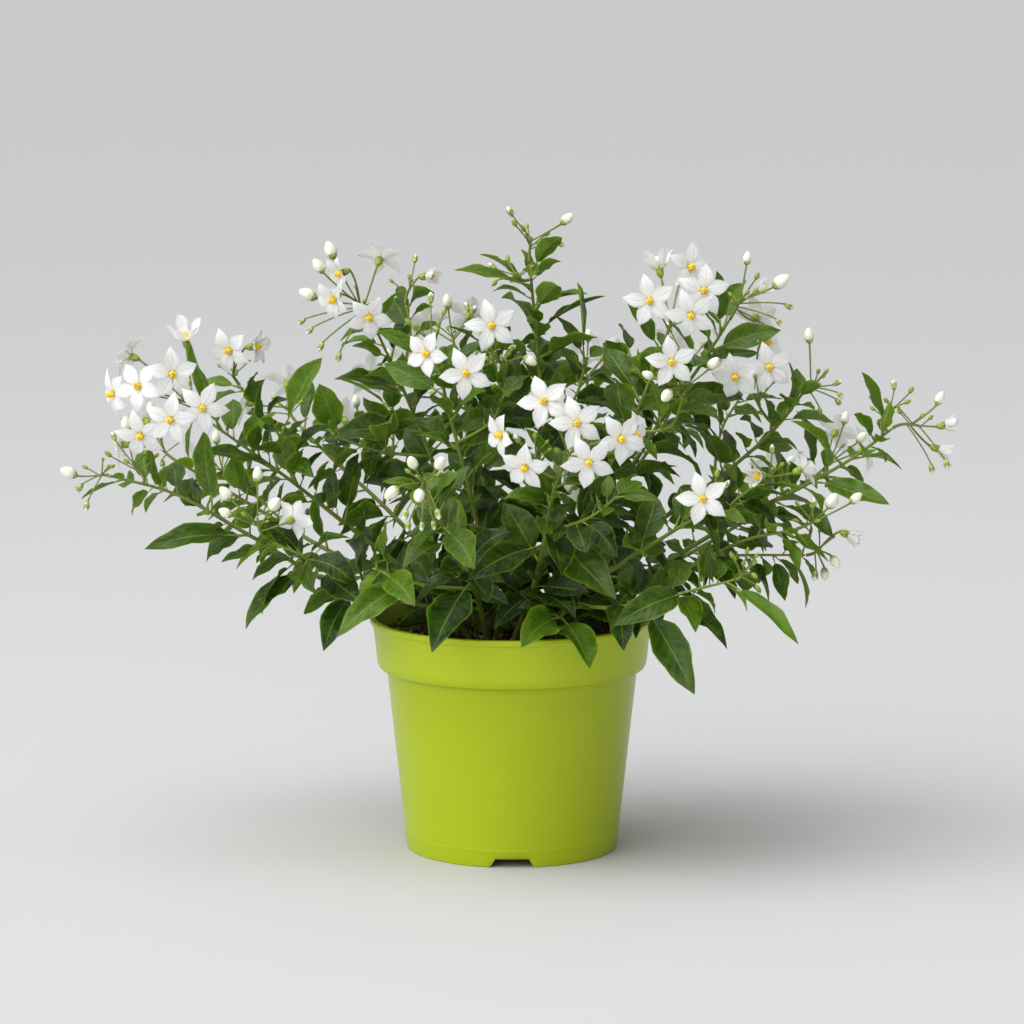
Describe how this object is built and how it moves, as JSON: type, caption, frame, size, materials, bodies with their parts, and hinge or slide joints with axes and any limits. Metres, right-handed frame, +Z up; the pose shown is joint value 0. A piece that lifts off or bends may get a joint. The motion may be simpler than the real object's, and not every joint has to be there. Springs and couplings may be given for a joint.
{
  "type": "potted potato vine",
  "caption": "Bushy climbing plant with small pointed leaves and sprays of white star flowers, growing in a round tapered nursery pot full of potting soil.",
  "frame": {"origin": "middle of the pot's foot, on the surface that the pot stands on", "axes": "+Z up the middle of the pot, -Y to the front that the picture shows, +X to the right as seen from the front"},
  "size_m": [0.4019, 0.2373, 0.2945],
  "materials": {
    "pot_plastic": "satin",
    "potting_soil": "matte",
    "foliage": "satin",
    "blossom": "matte"
  },
  "bodies": {
    "root": {"pot": "pot_plastic", "soil": "potting_soil", "stem_left_low": "foliage", "stem_left_high": "foliage", "stem_upper_left": "foliage", "stem_crown_left": "foliage", "stem_top": "foliage", "stem_upper_right": "foliage", "stem_right_cluster": "foliage", "stem_right_mid": "foliage", "stem_right_long": "foliage", "stem_right_low": "foliage", "stem_front": "foliage", "stem_front_left": "foliage", "stem_front_right": "foliage", "stem_back_left": "foliage", "stem_back_left_low": "foliage", "stem_back": "foliage", "stem_back_right": "foliage", "stem_back_right_low": "foliage", "stem_back_top": "foliage", "spray_left_cluster": "blossom", "spray_left_tall": "blossom", "spray_left_tip": "blossom", "spray_left_tip_up": "blossom", "spray_left_inner": "blossom", "spray_upper_left_spray": "blossom", "spray_upper_left_side": "blossom", "spray_crown_left_spray": "blossom", "spray_crown_right_spray": "blossom", "spray_top_spray": "blossom", "spray_top_side": "blossom", "spray_front_cluster": "blossom", "spray_front_small": "blossom", "spray_front_left_buds": "blossom", "spray_right_upper_cluster": "blossom", "spray_right_cluster_side": "blossom", "spray_upper_right_spray": "blossom", "spray_right_mid_spray": "blossom", "spray_right_mid_tip": "blossom", "spray_right_long_up": "blossom", "spray_right_long_tip": "blossom", "spray_right_low_tip": "blossom", "spray_right_low_hang": "blossom", "spray_right_inner": "blossom", "spray_front_right_star": "blossom", "spray_front_right_young": "blossom", "spray_back_left_spray": "blossom", "spray_back_left_side": "blossom", "spray_back_left_low_spray": "blossom", "spray_back_left_far": "blossom", "spray_back_spray": "blossom", "spray_back_side": "blossom", "spray_back_low": "blossom", "spray_back_right_spray": "blossom", "spray_back_right_side": "blossom", "spray_back_right_low_spray": "blossom", "spray_back_right_far": "blossom", "spray_back_top_spray": "blossom"}
  },
  "joints": []
}
